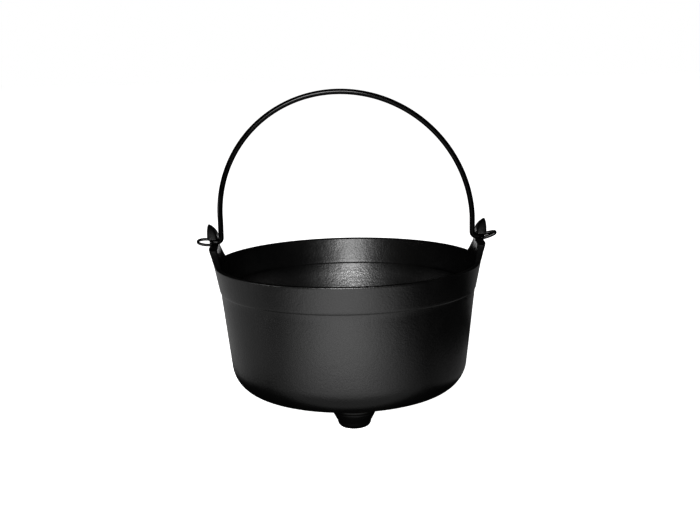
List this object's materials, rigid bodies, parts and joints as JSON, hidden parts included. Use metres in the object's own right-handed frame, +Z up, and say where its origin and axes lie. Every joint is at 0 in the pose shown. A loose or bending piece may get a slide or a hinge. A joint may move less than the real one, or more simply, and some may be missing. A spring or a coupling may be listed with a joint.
{
  "type": "cauldron",
  "caption": "Wide cast cauldron with a flared rim band, stub feet and pointed slotted ears that hold a swinging wire bail.",
  "frame": {"origin": "middle of the plane that the feet stand on", "axes": "+X along the bail's hinge axis, from one ear to the other; -Y towards the single front foot; +Z up"},
  "size_m": [0.3372, 0.3, 0.3578],
  "materials": {
    "casting": "satin black, fine cast grain",
    "bail_wire": "satin black"
  },
  "bodies": {
    "pot": {"pot_body": "casting", "ear_left": "casting", "ear_right": "casting", "foot_front": "casting", "foot_rear_left": "casting", "foot_rear_right": "casting"},
    "bail": {"bail_handle": "bail_wire"}
  },
  "joints": [
    {"name": "bail_swing", "type": "hinge", "parent": "pot", "child": "bail", "pos_m": [0, 0, 0.19], "axis": [1, 0, 0], "range_deg": [-100, 100]}
  ]
}
